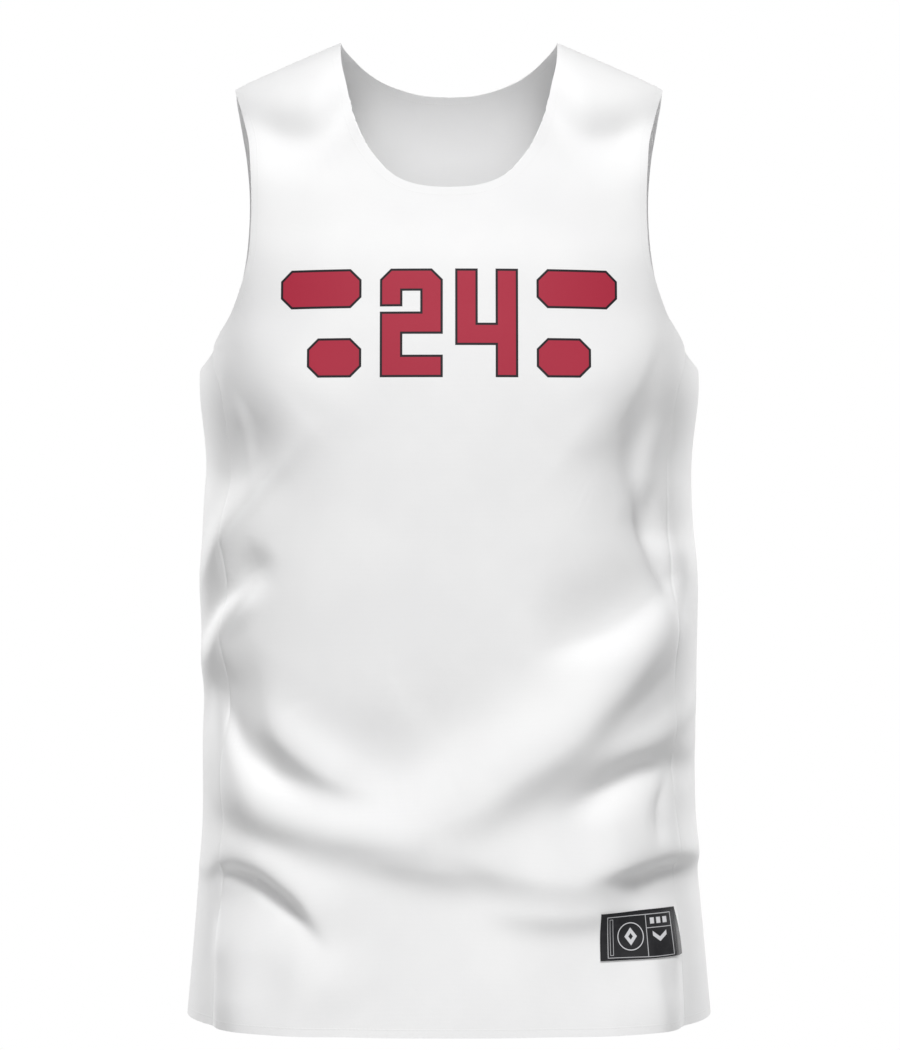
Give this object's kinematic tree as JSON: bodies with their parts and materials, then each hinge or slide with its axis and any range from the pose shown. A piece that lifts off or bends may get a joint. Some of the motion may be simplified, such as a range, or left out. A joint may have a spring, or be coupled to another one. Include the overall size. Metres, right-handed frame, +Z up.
{
  "type": "basketball jersey",
  "caption": "Sleeveless knit basketball jersey in its worn, hollow shape, with a scooped neck, deep armholes, side panels and a small woven label above the hem.",
  "frame": {"origin": "midway between the middles of the two shoulder seams, where the wearer's shoulders carry the jersey", "axes": "+X to the wearer's left, -Y to the front, +Z up, from the hem to the shoulders"},
  "size_m": [0.4026, 0.2424, 0.7457],
  "materials": {
    "body_knit": "smooth white polyester knit with a soft sheen",
    "woven_label": "black damask weave with a thin pale line"
  },
  "bodies": {
    "root": {"front_panel": "body_knit", "back_panel": "body_knit", "side_panel_left": "body_knit", "side_panel_right": "body_knit", "hem_label": "woven_label"}
  },
  "joints": []
}
